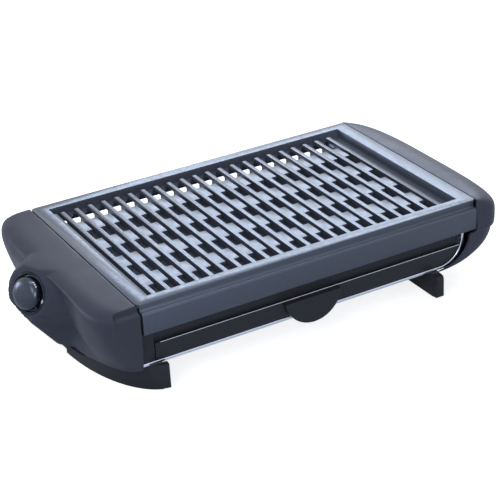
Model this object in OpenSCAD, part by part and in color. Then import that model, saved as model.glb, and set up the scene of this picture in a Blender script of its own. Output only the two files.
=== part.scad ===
// Open electric table grill: a cast ribbed plate over a tubular heating element, between a
// moulded control housing and a moulded end cap, with a drip tray that pulls out to the front.
// X runs along the plate, -Y is the front with the tray's grip, Z is up and 0 is the table.

/* [Grill plate] */
// Height of the plate's rim above the table
rim_top = 97; // [92:1:104]
// Length of the plate's rim
rim_len = 399; // [380:1:420]
// Depth of the plate's rim
rim_depth = 260; // [250:1:270]
// Width of the rim at each end
rim_side = 15.6; // [12:0.2:20]
// Width of the rim at the front
rim_front = 11.6; // [9:0.2:16]
// Width of the rim at the back
rim_back = 12.3; // [9:0.2:16]
// Distance from one rib to the next
rib_pitch = 16; // [14:0.5:18]
// Width of a plain rib
rib_w = 4.6; // [3:0.2:6]
// Width of a bar with its slotted ledge
bar_w = 11.4; // [9:0.2:13]
// Length of each drain slot
slot_len = 24; // [16:1:28]
// Depth of the channels between the bars
channel_depth = 10; // [6:0.5:12]
// Thickness of the casting
cast_t = 3; // [2:0.5:4]
// Drop of the front skirt below the rim
front_drop = 32.5; // [28:0.5:36]
// Drop of the back skirt below the rim
back_drop = 20; // [14:0.5:26]

/* [Control housing] */
// Reach of the housing beyond the plate's seam
housing_reach = 47.5; // [42:0.5:54]
// Wall of the mouldings
wall = 2.8; // [2:0.1:3.5]
// Gap along the seams between plate and mouldings
seam = 0.8; // [0.5:0.1:1.5]

/* [Dial] */
// Height of the dial's centre above the table
dial_z = 70.8; // [68:0.2:74]
// Distance of the dial's centre from the plate's centre
dial_x = 259.6; // [256:0.2:263]
// Upward tilt of the dial
dial_tilt = 20; // [10:1:30]
// Turn of the dial towards the front
dial_yaw = 24; // [0:1:30]
// Radius of the round face around the dial
face_r = 27.7; // [26:0.1:29]
// Radius of the dial cup's rim
cup_r = 21.6; // [21:0.1:22.5]
// Radius of the knob's dome
knob_r = 17.2; // [15:0.2:17.4]
// Radius of the thermostat's shaft
shaft_r = 3; // [2.5:0.1:4]

/* [End cap] */
// Reach of the end cap beyond the plate's seam
cap_reach = 43; // [36:1:48]

/* [Trough and tray] */
// Half of the trough's width
trough_half = 184; // [178:1:188]
// Radius of the trough's lower corners
trough_r = 31; // [24:1:40]
// Height of the trough's underside above the table
trough_z = 28; // [24:1:30]
// Thickness of the trough's steel
sheet = 1.2; // [0.8:0.1:2]
// Height of the tray front's upper edge above the table
tray_edge = 49.4; // [46:0.2:52]
// Radius of the half-moon grip
grip_r = 33; // [30:1:36]
// Height of the grip's centre above the tray front's upper edge
grip_rise = 3.5; // [0:0.5:6]

/* [Heating element] */
// Radius of the element's tube
tube_r = 3.25; // [2.5:0.25:4]
// Spacing of the element's runs
run_gap = 53; // [44:1:56]
// Height of the element above the table
element_z = 67; // [64:1:70]

/* [Feet] */
// Height of the curved plinth feet under the control housing
plinth_h = 12; // [10:1:16]
// Thickness of the rubber strips under the feet
pad_t = 1.2; // [0.8:0.2:2]

/* [Hidden] */

$fn = 48;
half_len = rim_len / 2;
half_depth = rim_depth / 2;
seam_x = half_len + seam;
skirt_x = half_len - 2.9;
front_y = -half_depth;
inner_front = front_y + rim_front;
inner_back = half_depth - rim_back;
inner_side = half_len - rim_side;
plate_floor = rim_top - channel_depth;
plate_under = plate_floor - cast_t;
cap_max = skirt_x + seam + cap_reach;
foot_front = 143;

// The dial's axis points out of the housing to the left, forward and up
dial_n = [-cos(dial_tilt) * cos(dial_yaw), -cos(dial_tilt) * sin(dial_yaw), sin(dial_tilt)];
cup_rim = 0.6;
cup_floor = -5;
cup_lugs = [16, 116, 227];
dial_at = [-dial_x, 0, dial_z];
// The round face lies a little higher and further back than the dial in it
pod_at = dial_at + [-0.1, 1.4, 1.35];
dial_side = -pod_at[0] + (face_r - 0.3) * sqrt(1 - dial_n[0] * dial_n[0]) + 0.3 * dial_n[0];

// Moves the plate-centred model so that its whole box is centred on the origin
shift_x = (dial_side - cap_max) / 2;
module stand() { translate([shift_x, 0, 0]) children(); }

// Puts its children on the dial's axis, with +Z pointing out of the housing
module on_dial(along = 0) {
    translate(dial_at + along * dial_n)
        rotate([0, 90 - dial_tilt, 180 + dial_yaw])
            children();
}

// ---- Bow-shaped mouldings -------------------------------------------------------------
// A moulding is a stack of level outlines. Each row of the stack is
// [height, seam x, outermost x, half depth, squareness], and the outline is the half
// superellipse between the two seams. The rows are joined by a smooth curve.

function squircle(a, n) = 1 / pow(pow(abs(cos(a)), n) + pow(abs(sin(a)), n), 1 / n);
function outline_point(row, a) =
    let (r = squircle(a, row[4]))
    [row[1] + (row[2] - row[1]) * cos(a) * r, row[3] * sin(a) * r, row[0]];

function curve(p0, p1, p2, p3, t) =
    p1 + 0.5 * t * (p2 - p0)
    + t * t * (p0 - 2.5 * p1 + 2 * p2 - 0.5 * p3)
    + t * t * t * (1.5 * (p1 - p2) + 0.5 * (p3 - p0));
function smooth_rows(rows, steps) = [
    for (i = [0 : len(rows) - 2], s = [0 : steps - 1])
        curve(rows[max(i - 1, 0)], rows[i], rows[i + 1], rows[min(i + 2, len(rows) - 1)], s / steps),
    rows[len(rows) - 1]
];

// The inner skin of a row lies one wall inside it, and one wall under it where it is nearly flat
function inner_row(row, top_z) =
    let (reach = row[2] - row[1], flat = max(0, 1 - (top_z - row[0]) / 12))
    [row[0] - wall * flat, row[1], row[1] + reach * (1 - wall / 45), row[3] - wall, row[4]];

function soft(t) = let (c = min(max(t, 0), 1)) c * c * (3 - 2 * c);

// Pulls a point of the control housing out to the round pod which carries the dial. The pod
// has a flat face, falls back steeply around it, and runs down to the housing's lower edge as
// a sloping keel. A valley in the housing's front half ends in a crease along the pod's flank.
function with_pod(p, seat) =
    let (y = p[1] - seat[1], z = p[2] - seat[2],
         x = -(dial_n[1] * y + dial_n[2] * z) / dial_n[0],
         d = norm([x, y, z]),
         front = soft((-y - 2) / 14) * soft((z + 50) / 36),
         valley = valley_depth * soft((-y - 8) / 16) * soft((y + 104) / 64)
             * soft((rim_top - 4 - p[2]) / 8) * soft((p[2] - 16) / 24),
         base = p[0] + valley,
         pod_x = seat[0] + x + (1.5 - 0.6 * front) * max(0, d - seat_r),
         keel_x = seat[0] + keel_reach - keel_slope * (p[2] - 46.8),
         pod = max(front, soft((pod_r - d) / (pod_r - seat_r))) * soft(rim_top - 0.1 - p[2]),
         keel = soft((keel_half - abs(p[1] - 3)) / 24) * soft((63 - p[2]) / 20))
    [min(base, base + pod * (pod_x - base), base + keel * (keel_x - base)), p[1], p[2]];
pod_r = 44;
seat_r = face_r - 1;
valley_depth = 9;
keel_half = 38;
keel_slope = 0.78;
keel_reach = -8;

function grid(rows, angles, side) = [
    for (row = rows, a = angles)
        let (p = outline_point(row, a)) [side * p[0], p[1], p[2]]
];

// Faces of a closed shell made of an outer and an inner grid of the same size
function shell_faces(m, n, flip) =
    let (size = m * n,
         f = concat(
            [for (i = [0 : m - 2], j = [0 : n - 2])
                [i * n + j, i * n + j + 1, (i + 1) * n + j + 1, (i + 1) * n + j]],
            [for (i = [0 : m - 2], j = [0 : n - 2]) let (b = size + i * n + j)
                [b, b + n, b + n + 1, b + 1]],
            [for (j = [0 : n - 2]) [j, size + j, size + j + 1, j + 1]],
            [for (j = [0 : n - 2]) let (b = (m - 1) * n)
                [b + j, b + j + 1, size + b + j + 1, size + b + j]],
            [for (i = [0 : m - 2]) [i * n, (i + 1) * n, size + (i + 1) * n, size + i * n]],
            [for (i = [0 : m - 2]) let (b = n - 1)
                [i * n + b, size + i * n + b, size + (i + 1) * n + b, (i + 1) * n + b]]))
    [for (q = f) each flip
        ? [[q[0], q[2], q[1]], [q[0], q[3], q[2]]]
        : [[q[0], q[1], q[2]], [q[0], q[2], q[3]]]];

housing_x0 = skirt_x + seam;
housing_max = half_len + housing_reach;
housing_rows = [
    [rim_top, seam_x, seam_x + 0.4, half_depth + 1, 1.2],
    [rim_top - 0.2, seam_x, seam_x + 16, half_depth + 3, 1.9],
    [rim_top - 1.0, seam_x - 0.6, seam_x + 33, half_depth + 5.5, 3],
    [rim_top - 4, housing_x0 + 0.6, housing_max - 5, half_depth + 7.6, 4],
    [rim_top - 9, housing_x0, housing_max - 1.2, half_depth + 8.7, 4.5],
    [rim_top - 18, housing_x0, housing_max, half_depth + 9, 4.5],
    [rim_top - 32, housing_x0, housing_max - 1.6, half_depth + 8.6, 4],
    [rim_top - 48, housing_x0 - 1, housing_max - 5, half_depth + 7.8, 3.3],
    [rim_top - 64, housing_x0 - 4, housing_max - 10, half_depth + 6.6, 2.5],
    [rim_top - 76, housing_x0 - 5.5, housing_max - 13.5, half_depth + 5.2, 2.0],
    [plinth_h + 0.4, housing_x0 - 6, housing_max - 16, half_depth + 4, 1.75]
];
housing_angles = concat(
    [-90, -82, -74, -66, -59, -53, -47, -42, -37, -32, -27, -23.5],
    [for (y = [-48 : 4 : 48]) atan(y / (half_depth + 9))],
    [23.5, 27, 32, 37, 42, 47, 53, 59, 66, 74, 82, 90]
);

cap_rows = [
    [rim_top, seam_x, seam_x + 0.4, half_depth + 0.5, 1.2],
    [rim_top - 0.3, seam_x, seam_x + 12, half_depth + 2, 1.9],
    [rim_top - 1.6, seam_x - 0.6, seam_x + 24, half_depth + 4, 2.8],
    [rim_top - 5, skirt_x + seam + 0.8, cap_max - 5, half_depth + 6, 3.6],
    [rim_top - 11, skirt_x + seam, cap_max - 1.6, half_depth + 7, 4],
    [rim_top - 20, skirt_x + seam, cap_max, half_depth + 7.3, 4],
    [rim_top - 33.4, skirt_x + seam, cap_max - 1.4, half_depth + 7.2, 4],
    [rim_top - 36, skirt_x - 7, cap_max - 2.4, half_depth + 7, 4],
    [rim_top - 44, trough_half + 3.5, cap_max - 7, half_depth + 6.6, 3.8],
    [rim_top - 53, trough_half - 0.5, cap_max - 18, half_depth + 6, 3.6],
    [rim_top - 61, trough_half - 8, cap_max - 34, half_depth + 5.4, 3.4],
    [rim_top - 67, trough_half - 19, cap_max - 54, half_depth + 5, 3.2],
    [trough_z - 1.2, trough_half - 34, cap_max - 81, half_depth + 4.6, 3]
];
cap_angles = [-90, -83, -76, -69, -62, -56, -50, -45, -40, -34, -28, -21, -14, -7, 0,
              7, 14, 21, 28, 34, 40, 45, 50, 56, 62, 69, 76, 83, 90];

module left_housing() {
    rows = smooth_rows(housing_rows, 2);
    inner = [for (row = rows) inner_row(row, rim_top)];
    skin = concat(
        [for (p = grid(rows, housing_angles, -1)) with_pod(p, pod_at)],
        [for (p = grid(inner, housing_angles, -1)) with_pod(p, pod_at - wall * dial_n)]
    );
    color("#4b4d5c") stand() difference() {
        union() {
            polyhedron(skin, shell_faces(len(rows), len(housing_angles), true), 6);
            at_cover_screws(plinth_h + 2.1) cylinder(h = rim_top - 16, r = 4);
            intersection() {
                on_dial() translate([-1.43, -1.36, 0]) rotate_extrude($fn = 96) polygon([
                    [cup_r - 3, -wall], [face_r, -wall], [face_r, -1], [face_r - 0.3, -0.3],
                    [face_r - 1, 0], [cup_r - 3, 0]
                ]);
                translate([-300, -50, 0]) cube([100, 100, rim_top - 0.5]);
            }
        }
        at_cover_screws(plinth_h) cylinder(h = 20, r = 1.75);
        on_dial(-6) cylinder(h = 30, r = cup_r + 0.35, $fn = 96);
        on_dial(-7.5) cylinder(h = 7.2 - wall, r = cup_r + 2.6, $fn = 96);
        at_inlet() cylinder(h = 40, r = 5.65);
    }
}

module right_end_cap() {
    rows = smooth_rows(cap_rows, 2);
    inner = [for (row = rows) inner_row(row, rim_top)];
    skin = concat(grid(rows, cap_angles, 1), grid(inner, cap_angles, 1));
    color("#565868") stand()
        polyhedron(skin, shell_faces(len(rows), len(cap_angles), false), 6);
}

// ---- Grill plate ----------------------------------------------------------------------
// Side view of the rim's edge: a cove under the rim, a rounded ledge, then the skirt
module edge_profile(drop) {
    polygon(concat(
        [[-6, 0], [0, 0]],
        [for (a = [0 : 15 : 90]) [1.2 * sin(a), -1.2 + 1.2 * cos(a)]],
        [for (a = [0 : 15 : 90]) [3.7 - 2.5 * cos(a), -5.3 - 2.5 * sin(a)]],
        [for (a = [0 : 15 : 90]) [4 + 3 * sin(a), -10.8 + 3 * cos(a)]],
        [[6.4, 1.5 - drop], [5.4, -drop], [3.6, -drop], [2.8, 1.5 - drop], [3, -14], [-6, -14]]
    ));
}

// One long skirt, at the front for turn -1 and at the back for turn 1
module skirt(drop, turn) {
    translate([-turn * skirt_x, turn * half_depth, rim_top])
        rotate([90, 0, turn * 90])
            linear_extrude(2 * skirt_x) edge_profile(drop);
}

module rim_outline() {
    r = 3.4;
    for (x = [-1, 1], y = [-1, 1])
        translate([x * (half_len - r), y * (half_depth - r)]) circle(r);
    square([rim_len, rim_depth - 2 * r], center = true);
    square([rim_len - 2 * r, rim_depth], center = true);
}

first_rib = -11;
last_rib = 10;
rib_shift = 2;
rib_rear = inner_back - 13.5;
window = [87.5, 106.5];

// Side view of a rib: it bridges the drain window at the back of the plate
module rib_profile() {
    polygon([
        [inner_front - 1, plate_floor - 1], [window[0], plate_floor - 1], [window[0], rim_top - 5],
        [rib_rear - 0.7, rim_top - 5], [window[1], plate_floor - 1],
        [rib_rear + 6, plate_floor - 1], [rib_rear, rim_top - 0.6], [inner_front - 1, rim_top - 0.6]
    ]);
}

// The drain slots follow each other along the ledges, from the front rim to the window
slot_w = bar_w - rib_w;
slot_starts = [for (i = [0 : 4]) -123 + 48.5 * i];
module drain_slots(w, low, high) {
    for (i = [0 : 3]) {
        from = max(slot_starts[i], inner_front);
        translate([0, from, low]) cube([w, slot_starts[i] + slot_len - from, high - low]);
    }
}

module grill_plate() {
    depth_y = inner_back - inner_front;
    color("#7d86a3") stand() {
        difference() {
            union() {
                translate([0, 0, rim_top - 4]) linear_extrude(4) rim_outline();
                translate([-inner_side - cast_t, inner_front - cast_t, plate_under])
                    cube([2 * (inner_side + cast_t), depth_y + 2 * cast_t, rim_top - 1 - plate_under]);
            }
            difference() {
                translate([-inner_side, inner_front, plate_floor])
                    cube([2 * inner_side, depth_y, channel_depth + 1]);
                translate([-inner_side - 1, inner_front, plate_floor - 1])
                    cube([4, rib_rear - inner_front, channel_depth + 0.4]);
            }
            for (i = [first_rib : last_rib - 1])
                translate([i * rib_pitch + rib_shift + rib_w / 2 + 0.4, 0, 0])
                    drain_slots(slot_w - 0.8, plate_under - 1, plate_floor + 1);
            translate([first_rib * rib_pitch + rib_shift, window[0], plate_under - 1])
                cube([(last_rib - first_rib) * rib_pitch, window[1] - window[0], cast_t + 2]);
        }
        for (i = [first_rib : last_rib]) translate([i * rib_pitch + rib_shift - rib_w / 2, 0, 0]) {
            rotate([90, 0, 90]) linear_extrude(rib_w) rib_profile();
            if (i < last_rib) difference() {
                translate([rib_w - 0.1, inner_front - 1, plate_floor - 1])
                    cube([bar_w - rib_w + 0.1, slot_starts[4] - inner_front + 1, channel_depth + 0.4]);
                translate([rib_w, 0, 0]) drain_slots(slot_w + 1, plate_under - 1, rim_top + 4);
            }
        }
        difference() {
            union() {
                skirt(front_drop, -1);
                skirt(back_drop, 1);
            }
            translate([-skirt_x - 1, inner_front, rim_top - 30])
                cube([2 * skirt_x + 2, depth_y, 40]);
        }
    }
}

module plate_pegs() {
    color("#7d86a3") stand()
        for (x = [-150, 150], y = [-60, 60])
            translate([x, y, plate_under - 8]) cylinder(h = 8, r = 4);
}

// ---- Trough, rails and bulkheads -----------------------------------------------------
// Section of the trough, shrunk by inset: square at the control end, rounded at the other
module trough_outline(inset, top) {
    r = trough_r - inset;
    z = trough_z + trough_r;
    x = trough_half - trough_r;
    left = -trough_left + inset;
    intersection() {
        union() {
            translate([x, z]) circle(r, $fn = 96);
            translate([left, trough_z + inset]) square([x - left, trough_r + 20]);
            translate([left, z]) square([trough_half - inset - left, 20]);
        }
        translate([-trough_left - 2, 0]) square([2 * trough_left + 4, top]);
    }
}

trough_left = 187;
bulk_x = 190.6;
trough_top = 62;
trough_front = 127.2;

module along_y(from, to) {
    translate([0, to, 0]) rotate([90, 0, 0]) linear_extrude(to - from) children();
}

module base_trough() {
    color("#c9ced8") stand() difference() {
        union() {
            along_y(-trough_front, trough_front) difference() {
                trough_outline(0, trough_top);
                trough_outline(sheet, trough_top + 1);
            }
            for (x = [-bulk_x, trough_half - sheet]) translate([x, -118, trough_top])
                cube([bulk_x - (x < 0 ? trough_left : trough_half) + sheet, 236, sheet]);
        }
        translate([-trough_left - 1, -trough_front - 1, trough_z + 2.4])
            cube([sheet + 1.2, 6, trough_top]);
        at_cold_ends(-trough_left) cylinder(h = 10, r = 7.6);
        at_fin_screws(trough_z - 1) cylinder(h = 4, r = 1.75);
    }
}

module trough_edge_trim() {
    color("#dfe4ee") stand()
        along_y(-trough_front - 3.6, -trough_front) difference() {
            trough_outline(-0.8, trough_top);
            trough_outline(2.4, trough_top + 1);
            translate([-trough_left - 2, trough_z + 2.4]) square([6, trough_top]);
        }
}

module rail(y, low, high) {
    translate([-trough_left + sheet, y - 1, low])
        cube([trough_left + trough_half - 8, 2, high - low]);
}

module front_rail() {
    color("#2c2d33") stand() difference() {
        union() {
            rail(-125.2, tray_edge - 1, trough_top + 20);
            translate([-trough_left + sheet, -125.2, trough_top + 18])
                cube([trough_left + trough_half - 8, 6, 2]);
        }
        rail_holes();
    }
}

module rail_holes() {
    for (x = [-170, 170]) translate([x, -120, trough_top + 8])
        rotate([90, 0, 0]) cylinder(h = 12, r = 2.1);
}

module rear_rail() {
    color("#2c2d33") stand() along_y(122.2, 124.2) difference() {
        trough_outline(sheet, trough_top - 1);
        translate([-trough_left, 0]) square([10, trough_z + 6]);
    }
}

// Sheet-steel end wall with two ears that reach out to the moulding's inner skin
module bulkhead(side) {
    low = trough_top - 12;
    high = rim_top - 4.3;
    ear = half_depth + (side < 0 ? 5.8 : 4.3);
    color("#9a9da6") stand() mirror([side < 0 ? 1 : 0, 0, 0]) difference() {
        union() {
            translate([bulk_x, -120, low]) cube([2, 240, high - low]);
            translate([bulk_x - 3, -120, high - 2]) cube([5, 240, 2]);
            for (s = [-1, 1]) {
                translate([bulk_x, s * 119 - 1, 66]) cube([13, 2, 18]);
                translate([bulk_x + 11, s < 0 ? -ear : 118, 66]) cube([2, ear - 118, 18]);
            }
        }
        if (side < 0) {
            for (y = [-1.5, 1.5]) translate([bulk_x - 6, y * run_gap, element_z])
                rotate([0, 90, 0]) cylinder(h = 12, r = 5.2);
            translate([bulk_x - 6, 0, 80.4]) rotate([0, 90, 0]) cylinder(h = 12, r = 1.5);
        }
    }
}
module left_bulkhead() { bulkhead(-1); }
module right_bulkhead() { bulkhead(1); }

// ---- Heating element -----------------------------------------------------------------
run_end = 150;
cold_end = -214;

module tube_run(from, to, y) {
    translate([from, y, element_z]) rotate([0, 90, 0]) cylinder(h = to - from, r = tube_r);
}
module tube_bend(x, y, turn) {
    translate([x, y, element_z]) rotate([0, 0, turn])
        rotate_extrude(angle = 180) translate([run_gap / 2, 0]) circle(tube_r);
}

module heating_element() {
    color("#5a5450") stand() union() {
        tube_run(cold_end, run_end, -1.5 * run_gap);
        tube_bend(run_end, -run_gap, -90);
        tube_run(-run_end, run_end, -0.5 * run_gap);
        tube_bend(-run_end, 0, 90);
        tube_run(-run_end, run_end, 0.5 * run_gap);
        tube_bend(run_end, run_gap, -90);
        tube_run(cold_end, run_end, 1.5 * run_gap);
    }
}

module at_cold_ends(x) {
    for (s = [-1, 1]) translate([x, s * 1.5 * run_gap, element_z]) rotate([0, -90, 0]) children();
}

module element_bushes() {
    color("#e8e2d4") stand() at_cold_ends(2.2 - bulk_x) difference() {
        union() {
            cylinder(h = 9, r = 5.1);
            cylinder(h = 2.2, r = 7.2);
        }
        translate([0, 0, -1]) cylinder(h = 10, r = tube_r + 0.05);
    }
}

module element_terminals() {
    color("#c8b070") stand() at_cold_ends(cold_end) {
        cylinder(h = 3, r = 2.4);
        translate([-3.2, -0.4, 3]) cube([6.4, 0.8, 9]);
    }
}

module element_supports() {
    top = element_z - tube_r - 0.1;
    color("#a8abb2") stand() for (x = [-95, 95]) {
        translate([x - 6, -124.2, top - 1.5]) cube([12, 246.4, 1.5]);
        for (y = [-1.5 : 1 : 1.5], s = [-1, 1])
            translate([x - 4, y * run_gap + s * (tube_r + 0.9) - 0.6, top]) cube([8, 1.2, 6]);
        for (y = [-124.2, 121]) translate([x - 6, y, top - 9]) cube([12, 1.2, 7.6]);
    }
}

// ---- Dial, thermostat and the parts inside the control housing ------------------------
module dial_cup() {
    color("#3c3e4a") stand() on_dial() difference() {
        union() {
            rotate_extrude($fn = 96) difference() {
                polygon(concat(
                    [[0, cup_floor - 1.6], [cup_r, cup_floor - 1.6], [cup_r, cup_rim - 0.6]],
                    [for (a = [30 : 30 : 150]) [cup_r - 0.6 + 0.6 * cos(a), cup_rim - 0.6 + 0.6 * sin(a)]],
                    [[cup_r - 1.2, cup_rim - 0.9], [cup_r - 2.2, cup_rim - 1.6],
                     [cup_r - 2.2, cup_floor], [0, cup_floor]]
                ));
                translate([0, cup_floor - 2]) square([shaft_r + 0.8, 4]);
            }
            for (turn = cup_lugs) rotate([0, 0, turn]) rotate_extrude(angle = 46, $fn = 96)
                translate([cup_r - 1, -4.8]) square([3.2, 4.2 - wall]);
        }
        lamp_place(-8) lamp_shape(lamp_r + 0.02, 20);
    }
}

lamp_r = 0.95;
// Where the small oblong lamp stands on the cup's rim, in front of the knob
module lamp_place(along) {
    rotate([0, 0, 80]) translate([cup_r - 1.1, 0, along]) children();
}
module lamp_shape(r, h) {
    hull() for (y = [-1.6, 1.6]) translate([0, y, 0]) cylinder(h = h, r = r);
}

module knob() {
    color("#17181b") stand() on_dial() difference() {
        rotate_extrude($fn = 96) difference() {
            polygon(concat(
                [[0, cup_floor + 0.5], [knob_r + 1.2, cup_floor + 0.5],
                 [knob_r + 1.4, cup_floor + 0.8], [knob_r + 1.4, cup_floor + 2.2]],
                [for (a = [0 : 10 : 90])
                    [knob_r * pow(cos(a), 0.55), 1.2 + 8.6 * pow(sin(a), 0.9)]]
            ));
            translate([0, cup_floor]) square([shaft_r + 0.05, 12.3]);
        }
        pointer_place() translate([-0.05, -0.05, -0.05]) pointer_shape(0.1);
    }
}

// The pointer is a small wedge let into the knob's skirt
module pointer_place() {
    rotate([0, 0, 50]) translate([knob_r - 3.4, 0, cup_floor + 1.6]) children();
}
module pointer_shape(more) {
    translate([0, -1.6 - more / 2, 0]) cube([4.8 + more, 3.2 + more, 5.2 + more]);
}
module knob_pointer() {
    color("#17181b") stand() on_dial() pointer_place() pointer_shape(0);
}

module thermostat_shaft() {
    color("#b9bcc4") stand() on_dial(-17) difference() {
        cylinder(h = 24.1, r = shaft_r);
        translate([shaft_r - 0.8, -4, 15]) cube([4, 8, 10]);
    }
}

module thermostat_body() {
    color("#d8d2c2") stand() on_dial(-34) difference() {
        union() {
            translate([-13, -15, 0]) cube([26, 30, 20]);
            cylinder(h = 26.6, r = 5.2);
            for (y = [-10, 10]) translate([-3, y - 0.4, -8]) cube([6, 0.8, 8]);
        }
        translate([0, 0, 16.95]) cylinder(h = 12, r = shaft_r + 0.06);
    }
}

module thermostat_bracket() {
    color("#a8abb2") stand() on_dial(-14) difference() {
        union() {
            translate([-16, -16, 0]) cube([32, 32, 1.2]);
            for (y = [-16, 14.8]) translate([-8, y, 0]) cube([16, 1.2, 7]);
        }
        translate([0, 0, -1]) cylinder(h = 4, r = 5.25);
    }
}

module thermostat_nut() {
    color("#b9bcc4") stand() on_dial(-12.7) difference() {
        cylinder(h = 3, r = 8, $fn = 6);
        translate([0, 0, -1]) cylinder(h = 6, r = 5.25);
    }
}

module sensor_bulb() {
    color("#c08a4a") stand() translate([-176, 0, 80.4]) {
        rotate([90, 0, 0]) translate([0, 0, -40]) cylinder(h = 80, r = 2.2);
        translate([-34, -1, -1]) cube([32, 2, 2]);
    }
}

module terminal_block() {
    color("#ece6d6") stand() translate([-203, 48, plinth_h + 2]) difference() {
        translate([-9, -18, 0]) cube([18, 36, 14]);
        for (y = [-12, 0, 12]) translate([-12, y, 8]) rotate([0, 90, 0]) cylinder(h = 24, r = 2);
    }
}

module indicator_lamp() {
    color("#f2f4f8") stand() on_dial() lamp_place(-11) lamp_shape(lamp_r, 11 + cup_rim + 0.5);
}

module lamp_holder() {
    color("#2c2d33") stand() on_dial() lamp_place(-13) difference() {
        translate([-2.4, -4, 0]) cube([4.8, 8, 6]);
        translate([0, 0, 2]) lamp_shape(lamp_r + 0.02, 8);
    }
}

// Bushing at the back of the housing, where the mains lead goes in
module at_inlet() {
    translate([-206, 119, 34]) rotate([-90, 0, 0]) children();
}
module cord_inlet() {
    color("#1d1e22") stand() at_inlet() difference() {
        union() {
            cylinder(h = 3, r = 7.4);
            cylinder(h = 23, r = 5.6);
        }
        translate([0, 0, -6]) cylinder(h = 40, r = 3.4);
    }
}

// ---- Bottom cover and feet -------------------------------------------------------------
// The bow of the feet and of the housing's lower edge, a quarter of an ellipse
bow_x = 170;
bow_a = 63.8;
bow_b = 140;
function bow_line(inset, from, to) = [
    for (i = [0 : 20]) let (a = from + (to - from) * i / 20)
        [-bow_x - (bow_a - inset) * cos(a), -(bow_b - inset) * sin(a)]
];
function back_to_front(line) = [for (i = [len(line) - 1 : -1 : 0]) line[i]];

module bow_band(outer, inner, from, to) {
    polygon(concat(bow_line(outer, from, to), back_to_front(bow_line(inner, from, to))));
}

module at_cover_screws(z) {
    for (y = [-100, 100]) translate([-205, y, z]) children();
}

module left_bottom_cover() {
    color("#33343b") stand() difference() {
        translate([0, 0, plinth_h]) linear_extrude(2) intersection() {
            polygon(concat(bow_line(8, -80, 80), [[-bow_x - 22, -120], [-bow_x - 22, 120]]));
            translate([-260, -120]) square([68, 240]);
        }
        at_cover_screws(0) cylinder(h = 40, r = 1.75);
    }
}

block_h = 28.4;
module left_foot(end) {
    mirror([0, end > 0 ? 1 : 0, 0]) difference() {
        union() {
            translate([0, 0, pad_t]) linear_extrude(plinth_h - pad_t) bow_band(0, 4, 7.5, 70);
            translate([0, 0, plinth_h / 2]) linear_extrude(plinth_h / 2) bow_band(0, 4, 0.5, 9);
            translate([0, 0, pad_t]) linear_extrude(block_h - pad_t) bow_band(0, 6, 69, 86);
            translate([0, 0, plinth_h - 2]) linear_extrude(2) bow_band(4, 15, 14, 66);
        }
        translate([-210, -131.4, trough_z - 1]) cube([60, 20, 20]);
        translate([-260, -150, plinth_h]) cube([260 - housing_x0 + 5.6, 60, 30]);
        at_cover_screws(0) cylinder(h = 40, r = 1.75);
    }
}
module front_left_foot() { color("#26272b") stand() left_foot(-1); }
module rear_left_foot() { color("#26272b") stand() left_foot(1); }

fin_x = 141;
fin_t = 9;
module at_fin_screws(z) {
    for (y = [-100, -80, 80, 100]) translate([fin_x + fin_t / 2, y, z]) children();
}
module right_foot(end) {
    mirror([0, end > 0 ? 1 : 0, 0]) translate([fin_x, 0, 0]) difference() {
        rotate([90, 0, 90]) linear_extrude(fin_t) polygon(concat(
            [[-126.9, trough_z - 0.1], [-60, trough_z - 0.1], [-78, pad_t]],
            [for (a = [0 : 15 : 75]) [2 - foot_front - 2 * sin(a), pad_t + 2 - 2 * cos(a)]],
            [[-foot_front, 22], [-foot_front + 1, trough_z - 2.2],
             [-131.6, trough_z - 1], [-126.9, trough_z - 1]]
        ));
        translate([2.4, -foot_front + 2.4, -1]) cube([fin_t - 4.8, 61, trough_z - 2]);
        translate([-fin_x, 0, 0]) at_fin_screws(0) cylinder(h = 40, r = 1.75);
    }
}
module front_right_foot() { color("#26272b") stand() right_foot(-1); }
module rear_right_foot() { color("#26272b") stand() right_foot(1); }

module foot_pads() {
    color("#0d0d0e") stand() for (s = [0, 1]) mirror([0, s, 0]) {
        linear_extrude(pad_t) bow_band(0.7, 3.3, 12, 80);
        translate([fin_x + 0.3, -136, 0]) cube([fin_t - 0.6, 2, pad_t]);
        translate([fin_x + 0.3, -80, 0]) cube([fin_t - 0.6, 2, pad_t]);
        translate([fin_x + 0.3, -136, 0]) cube([1.8, 58, pad_t]);
    }
}

module screw(length, r) {
    cylinder(h = length, r = r);
    translate([0, 0, -1.8]) difference() {
        cylinder(h = 1.8, r = 2 * r);
        for (a = [0, 90]) rotate([0, 0, a]) translate([-r, -0.4, -0.1]) cube([2 * r, 0.8, 1]);
    }
}

module cover_screws() {
    color("#8b8e96") stand() at_cover_screws(plinth_h - 2) screw(18, 1.7);
}

module foot_screws() {
    color("#8b8e96") stand() at_fin_screws(trough_z + sheet) {
        cylinder(h = 0.9, r = 3.4);
        translate([0, 0, -14]) cylinder(h = 14, r = 1.7);
    }
}

module rail_screws() {
    color("#8b8e96") stand() for (x = [-170, 170])
        translate([x, -126.3, trough_top + 8]) rotate([-90, 0, 0]) screw(5, 2);
}

module tray_runners() {
    color("#6d7078") stand() for (s = [-1, 1])
        translate([s * 120 - 5, -122, trough_z + sheet]) cube([10, 240, 1.4]);
}

// ---- Drip tray --------------------------------------------------------------------------
tray_low = trough_z + sheet + 1.7;
tray_high = 46;
module tray_section(t) {
    top = tray_high + (t > 0 ? 1 : 0);
    polygon([[-174 + t, tray_low + t], [152 - t, tray_low + t], [168 - t, top], [-178 + t, top]]);
}

module tray_pan() {
    color("#b4b8c2") stand() {
        difference() {
            along_y(-127, 118) tray_section(0);
            along_y(-125.8, 116.8) tray_section(1.2);
        }
    }
}

tray_face = 130.8;
module tray_front() {
    color("#2e2f35") stand() difference() {
        along_y(-tray_face, -127.3) intersection() {
            trough_outline(3, 90);
            translate([-trough_left + 3.4, 0]) square([trough_left + trough_half, tray_edge]);
        }
        grip_holes(20);
    }
}

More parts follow.
